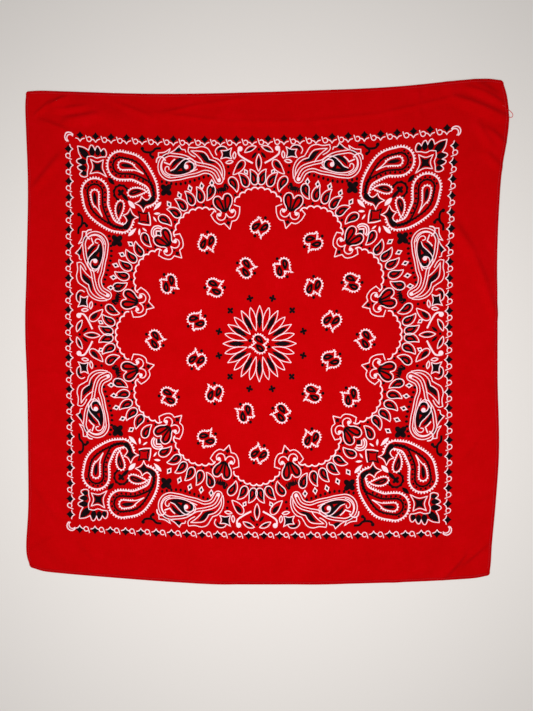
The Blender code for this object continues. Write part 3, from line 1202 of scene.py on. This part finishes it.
# Its tail ends in an arrowhead that points back under the head.
great_white.append(line_film([(-128.8, 162.6), (-129.8, 159.4), (-133.4, 157.4), (-137.2, 159.2)]))
great_white.append(line_film([
    (-137.2, 159.2), (-139.4, 161.6, 1), (-141.6, 156.8), (-147.6, 153.2, 1), (-142, 150.6), (-139.4, 148),
    (-137.4, 143.6, 1), (-135.4, 148), (-133.4, 149.8),
]))
arrow = smooth([
    (-126, 163), (-127.6, 158.6), (-132.6, 155.6), (-138.4, 158.8, 1), (-140.6, 155.4), (-145.4, 153.2, 1),
    (-140.4, 151.4), (-137.4, 147, 1), (-134.6, 151.4), (-128, 153.6), (-123, 158),
], closed=True)
great_black.append(spot(arrow))
stamp("white", great_white, EIGHTHS, FRAME_CENTRE)
stamp("black", great_black, EIGHTHS, FRAME_CENTRE)

# %% Small figures of the corners
ROSETTE = xy(-164.4, 165)
INNER_STAR_CORNERS = [xy(-143.6, 144), xy(-142.6, 131.8), xy(-131, 131), xy(-131.4, 142.8)]
ring = arc(ROSETTE, 8.0, 15, 255, step=1.0)
bumpy = 1.0 + 1.3 * abs(np.sin(np.linspace(0, 7 * math.pi, len(ring))))
on_diagonal_black = [
    ribbon(ring, 0.9, bumpy),
    dot(ROSETTE, 2.8),
    *[dot(ROSETTE + 2.9 * np.exp(1j * math.radians(turned)), 1.9) for turned in (45, 135, 225)],
    leaf_film(ROSETTE, xy(-155, 155.6), 2.2),
    leaf_film(xy(-180.2, 181.6), xy(-172, 174), 2.5),
    edge_film(hollow_star(INNER_STAR_CORNERS, xy(-137, 137.4), 0.22), 1.7),
]
on_diagonal_white = [leaf_film(xy(-155.6, 156), xy(-147.4, 147.6), 2.6)]
stamp("black", on_diagonal_black, QUARTERS, FRAME_CENTRE)
stamp("white", on_diagonal_white, QUARTERS, FRAME_CENTRE)
corner_white = [
    leaf_film(xy(-125, 146), xy(-116, 155.4), 2.2, 0.0, 1.3),
    leaf_film(xy(-124.6, 142), xy(-117, 142.4), 1.3),
    leaf_film(xy(-125.4, 138.4), xy(-121.6, 133), 1.0),
    line_film([(-131, 143.6), (-129.4, 137.2), (-128.8, 128.8, 1)], 1.3),
]
corner_black = [
    spot(flower_edge(xy(-110, 169.2), 8.2, 0.54, 1.2, 47, 40)),
    line_film([
        (-138.5, 216.5), (-137, 213), (-131, 211.6), (-126, 212.6), (-122.6, 215.8), (-116, 216.4),
    ], 2.7),
    line_film([(-127.4, 212.2), (-129, 209), (-125.6, 205.8)], 2.7),
    dot(xy(-138.4, 215.8), 2.2),
    dot(xy(-126, 206.2), 2.0),
]
stamp("white", corner_white, EIGHTHS, FRAME_CENTRE)
stamp("black", corner_black, EIGHTHS, FRAME_CENTRE)
print("after the corners:", count_prints())

# %% [markdown]
# ## The sides
#
# Two long paisleys lie along each side with their tails towards its middle, and a small upright
# spray stands between them. A long paisley is again one spine, with three lines inside each other,
# a curl of black and white in its head, and a leaf that springs from its back.

# %% The long paisleys
LONG = (
    (-104, 195.4, 16.0),
    (-89, 195.2, 13.8),
    (-75, 193.2, 8.6),
    (-63, 193.6, 5.6),
    (-52.4, 189.8, 5.4),
    (-47, 181.0, 5.3),
)
long_white = [edge_film(around(LONG, inset)) for inset in (0.3, 3.6)]
long_white += [
    line_film([
        (-106.4, 192.2), (-107.4, 195.6), (-110.6, 194.8), (-110.8, 190.4), (-106.4, 187), (-98, 185.8),
        (-89, 187), (-79.6, 190.2), (-72.4, 193),
    ]),
    line_film([(-112.2, 204.8), (-115, 199.4), (-115, 193), (-111.4, 187.6), (-105, 184.6)]),
    line_film([
        (-105, 191), (-100, 193), (-95, 198.2), (-88.4, 203.8), (-81.6, 204.8), (-76.4, 202),
        (-74.2, 197.4), (-75.4, 194), (-79, 191.2),
    ]),
    dot(xy(-86, 195.6), 2.6),
    line_film([
        (-88, 196.4), (-86.8, 199.6), (-83, 201.4), (-78.4, 200), (-76.4, 196), (-77.6, 192.4),
        (-81, 190.4),
    ]),
    line_film([
        (-75, 206.6), (-80.6, 209.6), (-83.6, 213.4), (-82.8, 217.8, 1), (-75, 217), (-67, 218.4),
        (-60.2, 216), (-56.2, 210), (-53.6, 206, 1), (-47.4, 203.6), (-42.6, 198), (-40.3, 190),
        (-41, 181),
    ]),
    line_film([
        (-65.2, 198.6, 1), (-68.4, 203.6), (-73.6, 208.8), (-80.2, 213.6, 1), (-72, 213.4),
        (-64.6, 212), (-60.6, 208), (-58.4, 203.8, 1), (-52, 202.0), (-46.4, 197.4), (-43.2, 191),
        (-43.2, 184),
    ]),
    dot(xy(-46.8, 180.2), 2.2),
    line_film([(-112.4, 200.6, 1), (-105.6, 198, 1), (-103, 201.2), (-99.4, 204.2)], 1.4),
    line_film([(-121.6, 200), (-120.6, 204.8), (-117, 206.8), (-113.2, 205.4), (-110.6, 202.4)], 1.4),
    line_film([
        (-119.2, 206.8, 1), (-119, 211.2, 1), (-112, 212), (-105, 216, 1), (-107.4, 210.4, 1),
        (-100.4, 214), (-94, 219.6, 1), (-91.6, 215.6), (-87.4, 214.8, 1), (-86.4, 212),
    ]),
]
long_black = [
    spine_film(((-103.6, 194.2, 0.4), (-100.4, 199, 1.8), (-94.6, 203.4, 2.0), (-85, 206.4, 0.3))),
    spine_film(((-107.6, 189.4, 0.3), (-99, 188.8, 1.8), (-90, 189.4, 1.9), (-82, 191.4, 0.8))),
    spine_film((
        (-104.6, 189.8, 0.3), (-97.4, 192.6, 2.0), (-91, 198.6, 2.6), (-84.8, 202.6, 1.4),
        (-80, 202.6, 0.3),
    )),
    spine_film(((-89.6, 200, 0.6), (-90, 195.4, 2.1), (-87.6, 190.2, 1.6))),
    spine_film((
        (-84, 199, 0.3), (-79.8, 198.4, 1.6), (-78.6, 195.2, 2.0), (-80.4, 192.6, 1.4), (-83, 192.4, 0.3),
    )),
    spine_film((
        (-71, 211.2, 0.3), (-66, 208.4, 2.4), (-61.4, 203.4, 2.5), (-56.4, 200.8, 1.4), (-51, 200, 0.3),
    )),
    leaf_film(xy(-115.4, 207.4), xy(-107.6, 210), 1.5),
    leaf_film(xy(-99.6, 212.4), xy(-90.4, 215.4), 2.3, 0.8),
]
below = smooth([(-115, 178.6), (-105, 176.8), (-95, 176), (-84, 178), (-72, 181.8), (-59.6, 185.6)])
long_black += [dot(place, 1.6, 1.25) for place in evenly(below, 5.6)]
stamp("white", long_white, EIGHTHS, FRAME_CENTRE)
stamp("black", long_black, EIGHTHS, FRAME_CENTRE)

# %% The sprays
SPRAY_STAR_CORNERS = [xy(-44.6, 213.6), xy(-45, 204.4), xy(-32.2, 204.4), xy(-32, 216.6)]
half_white = [
    edge_film(leaf_edge(xy(-16.6, 211.4), xy(-3.2, 217.6), 2.7, 0.8)),
    dot(xy(-22, 215.4), 2.9),
    line_film([(-24.2, 214.4), (-23.6, 209.6), (-17.4, 204.6), (-7, 199)], 1.9),
    edge_film(leaf_edge(xy(-29.2, 204.2), xy(-28.4, 212), 1.7), 1.2),
    edge_film(leaf_edge(xy(-30.4, 201.4), xy(-38.8, 200), 1.7), 1.2),
    edge_film(leaf_edge(xy(-17.6, 202.4), xy(-30.2, 186.6), 4.6, 1.0, 0.66, 13)),
    edge_film(hollow_star(SPRAY_STAR_CORNERS, xy(-38, 210), 0.26)),
    line_film([
        (-49.6, 208.6, 1), (-51.4, 213), (-48.6, 217.2), (-43.6, 218.6), (-39, 217.4), (-36.8, 214.2, 1),
    ]),
]
half_black = [
    leaf_film(xy(-14, 212.2), xy(-5.6, 216.2), 1.5, 0.4),
    leaf_film(xy(-2.6, 211.4), xy(-8.4, 204.4), 1.7),
    leaf_film(xy(-19.4, 200.4), xy(-26.6, 192.6), 2.4, 0.6, 0.7),
    spot(star_edge(xy(-38.2, 210), 6.6, 0.8, 45)),
    spine_film(((-48.4, 211.6, 0.3), (-46.6, 215.4, 1.4), (-41.6, 216.6, 1.0), (-38.6, 215.4, 0.3))),
    dot(xy(-36, 195.4), 1.7),
    dot(xy(-35, 188.2), 1.7),
]
stamp("white", half_white, EIGHTHS, FRAME_CENTRE)
stamp("black", half_black, EIGHTHS, FRAME_CENTRE)
stamp("white", [edge_film(leaf_edge(xy(0, 190), xy(0, 209), 3.2))], QUARTERS, FRAME_CENTRE)
middle_black = [leaf_film(xy(0, 193.6), xy(0, 205.6), 1.7), dot(xy(0, 214.4), 1.6)]
stamp("black", middle_black, QUARTERS, FRAME_CENTRE)
print("after the sides:", count_prints())

# %% [markdown]
# ## Laying the print
#
# The print is laid a little narrower and taller than it is drawn, and a little off the middle of the
# cloth. Each film's points go to their flat places, and then through the same lay as the cloth. The
# tops stand one to two tenths of a millimetre over the threads, white over black. Each stroke has a
# slightly different level, so that where two of them cross, no two faces share a plane.

# %% Printed cloth
PRINT_STRETCH = (0.9784, 1.0085)
PRINT_SHIFT = (0.45 * MM, 2.4 * MM)
FILM_LIFT = {"white": 0.17 * MM, "black": 0.12 * MM}
FILM_KEEL = -0.28 * MM
LEVEL_STEP = 0.003 * MM
LEVELS = 12


def ink(name, dark, middle, light, specular, sheen):
    """Pigment over plain weave: the weave still shows through it, and it is a little uneven."""
    material, tree, shader = new_material(name, 0.9, specular, sheen, 0.5, (1.0, 1.0, 1.0))
    height, slubs = weave_height(tree)
    patchy = noise(tree, cloth_map(tree, (5 * MM, 5 * MM)), 3, 0.6)
    mixed = math_node(tree, "ADD", math_node(tree, "MULTIPLY", slubs, 0.4), patchy)
    colour = colour_ramp(tree, math_node(tree, "MULTIPLY", mixed, 0.56),
                         ((0.34, dark), (0.5, middle), (0.66, light)))
    tree.links.new(colour, shader.inputs["Base Color"])
    bump_into(tree, shader, height, 0.10 * MM, 0.5)
    return material


# dark, middle and light colour of the ink
WHITES = ((0.84, 0.56, 0.62), (0.93, 0.68, 0.74), (0.96, 0.77, 0.81))
BLACKS = ((0.003, 0.0015, 0.002), (0.006, 0.003, 0.004), (0.012, 0.005, 0.007))
white_ink = ink("white_ink", *WHITES, 0.06, 0.02)
black_ink = ink("black_ink", *BLACKS, 0.02, 0.0)


def print_piece(colour, material):
    """All the films of one colour, laid on the cloth and joined in one mesh."""
    films = prints[colour]
    sizes = np.array([len(points) for points, _level, _faces in films])
    number = np.repeat(np.arange(len(films)), sizes)
    first = np.cumsum(sizes) - sizes
    points = np.concatenate([film[0] for film in films])
    level = np.concatenate([film[1] for film in films])
    faces = np.concatenate([film[2] + start for film, start in zip(films, first)])
    u = points.real * PRINT_STRETCH[0] * MM + PRINT_SHIFT[0]
    v = points.imag * PRINT_STRETCH[1] * MM + PRINT_SHIFT[1]
    film_top = FILM_LIFT[colour] + LEVEL_STEP * (number % LEVELS)
    above = CLOTH_THICKNESS + np.where(level > 0.5, film_top, FILM_KEEL)
    flat = np.stack([u, v], axis=1)
    piece = mesh_piece(f"{colour}_print", laid(u, v, above), faces, flat, material, False)
    return piece


printed = [print_piece("white", white_ink), print_piece("black", black_ink)]

# %% [markdown]
# ## The loose thread
#
# One end of sewing thread stands out from the right-hand edge in a small loop. It is a round tube
# carried along a smooth line that lies on the table and rises over the hem.

# %% The loose thread
THREAD_RADIUS = 0.3 * MM
THREAD_SIDES = 8
# flat place and height over the table, in mm
THREAD_ROUTE = (
    (271.5, 259.5, 1.5),
    (275.4, 258.6, 1.3),
    (278.6, 257.0, 0.6),
    (281.6, 254.4, 0.35),
    (284.6, 251.6, 0.35),
    (286.2, 248.4, 0.4),
    (284.4, 246.0, 0.6),
    (281.4, 246.6, 0.8),
)


def tube(route, radius, sides):
    """Closed tube along a route of x, y, z rows, with a fan over each end."""
    line = smooth([row[:2] for row in route], step=0.6)
    chords = np.append(0, np.cumsum(abs(np.diff([xy(*row[:2]) for row in route]))))
    run = np.append(0, np.cumsum(abs(np.diff(line))))
    height = np.interp(run / run[-1], chords / chords[-1], [row[2] for row in route])
    middle = np.stack([line.real, line.imag, height], axis=1) * MM
    forward = np.gradient(middle, axis=0)
    forward /= np.linalg.norm(forward, axis=1, keepdims=True)
    sideways = np.cross(forward, [0.0, 0.0, 1.0])
    sideways /= np.linalg.norm(sideways, axis=1, keepdims=True)
    upward = np.cross(sideways, forward)
    turn = np.linspace(0, 2 * math.pi, sides, endpoint=False)[None, :, None]
    ring = middle[:, None] + radius * (sideways[:, None] * np.cos(turn) + upward[:, None] * np.sin(turn))
    index = np.arange(len(line) * sides).reshape(len(line), sides)
    onward = np.roll(index, -1, axis=1)
    walls = np.stack([index[:-1], index[1:], onward[1:], onward[:-1]], axis=-1).reshape(-1, 4)
    points = np.concatenate([ring.reshape(-1, 3), middle[[0, -1]]])
    first = np.stack([index[0], onward[0], np.full(sides, index.size)], axis=1)
    last = np.stack([onward[-1], index[-1], np.full(sides, index.size + 1)], axis=1)
    return points, np.concatenate([walls[:, [0, 1, 2]], walls[:, [0, 2, 3]], first, last])


thread_points, thread_faces = tube(THREAD_ROUTE, THREAD_RADIUS, THREAD_SIDES)
thread_points[:, :2] += CENTRE_SHIFT
loose_thread = mesh_piece(
    "loose_thread", thread_points, thread_faces, thread_points[:, :2], thread_material
)

# %% [markdown]
# ## The table, the light and the camera
#
# The cloth lies on a pale matt table. Most of the light comes from one soft lamp over the middle of
# the cloth, so what slopes outwards is deeper in colour and the creases show as soft bands. A weaker
# one comes from the near side. The camera looks down, a little tilted, from about 0.62 m.

# %% Table, light and camera
TABLE_HALF = 3.0
TABLE_LEVEL = -0.02 * MM
ROOM_COLOUR = (1.0, 0.98, 0.96, 1)
ROOM_STRENGTH = 0.22
CAMERA_PLACE = (0.0316, 0.0006, 0.6218)
CAMERA_TILT = (-1.99, 2.207, 0.39)
LENS = 27.04
SENSOR_WIDTH = 36


def pale_table():
    """Matt warm white with a very faint unevenness, so that it isn't one flat colour."""
    material, tree, shader = new_material("pale_table", 0.8, 0.2, 0.0, 0.5, (1, 1, 1))
    place = tree.nodes.new("ShaderNodeTexCoord")
    value = noise(tree, place.outputs["Object"], 2)
    colour = colour_ramp(tree, value, ((0.3, (0.735, 0.705, 0.675)), (0.7, (0.745, 0.715, 0.685))))
    tree.links.new(colour, shader.inputs["Base Color"])
    return material


def floor_piece(half):
    """One square face at the level that the cloth lies on."""
    mesh = bpy.data.meshes.new("table_top")
    corners = [(-half, -half), (half, -half), (half, half), (-half, half)]
    mesh.from_pydata([(x, y, TABLE_LEVEL) for x, y in corners], [], [(0, 1, 2, 3)])
    mesh.materials.append(pale_table())
    piece = bpy.data.objects.new("table_top", mesh)
    bpy.context.collection.objects.link(piece)


def soft_light(name, place, target, size, power, colour):
    """Square area light at a place, aimed at a target."""
    lamp = bpy.data.lights.new(name, "AREA")
    lamp.shape = "SQUARE"
    lamp.size = size
    lamp.energy = power
    lamp.color = colour
    light = bpy.data.objects.new(name, lamp)
    from_to = np.array(target) - np.array(place)
    light.location = place
    light.rotation_euler = (
        math.atan2(math.hypot(from_to[0], from_to[1]), -from_to[2]),
        0,
        math.atan2(-from_to[0], from_to[1]),
    )
    bpy.context.collection.objects.link(light)


floor_piece(TABLE_HALF)
soft_light("near_light", (-0.45, -1.5, 1.15), (0, 0, 0), 0.9, 5, (1.0, 0.98, 0.97))
soft_light("middle_light", (0.0, -0.05, 0.8), (0, -0.05, 0), 0.4, 6.7, (1.0, 0.99, 0.99))

world = bpy.data.worlds.new("room")
world.use_nodes = True
background = world.node_tree.nodes["Background"]
background.inputs["Color"].default_value = ROOM_COLOUR
background.inputs["Strength"].default_value = ROOM_STRENGTH
bpy.context.scene.world = world
bpy.context.scene.view_settings.view_transform = "Standard"

lens = bpy.data.cameras.new("view")
lens.lens = LENS
lens.sensor_width = SENSOR_WIDTH
lens.clip_start = 0.01
camera = bpy.data.objects.new("view", lens)
camera.location = CAMERA_PLACE
camera.rotation_mode = "ZYX"
camera.rotation_euler = [math.radians(angle) for angle in CAMERA_TILT]
bpy.context.collection.objects.link(camera)
bpy.context.scene.camera = camera
print("camera at", tuple(camera.location))
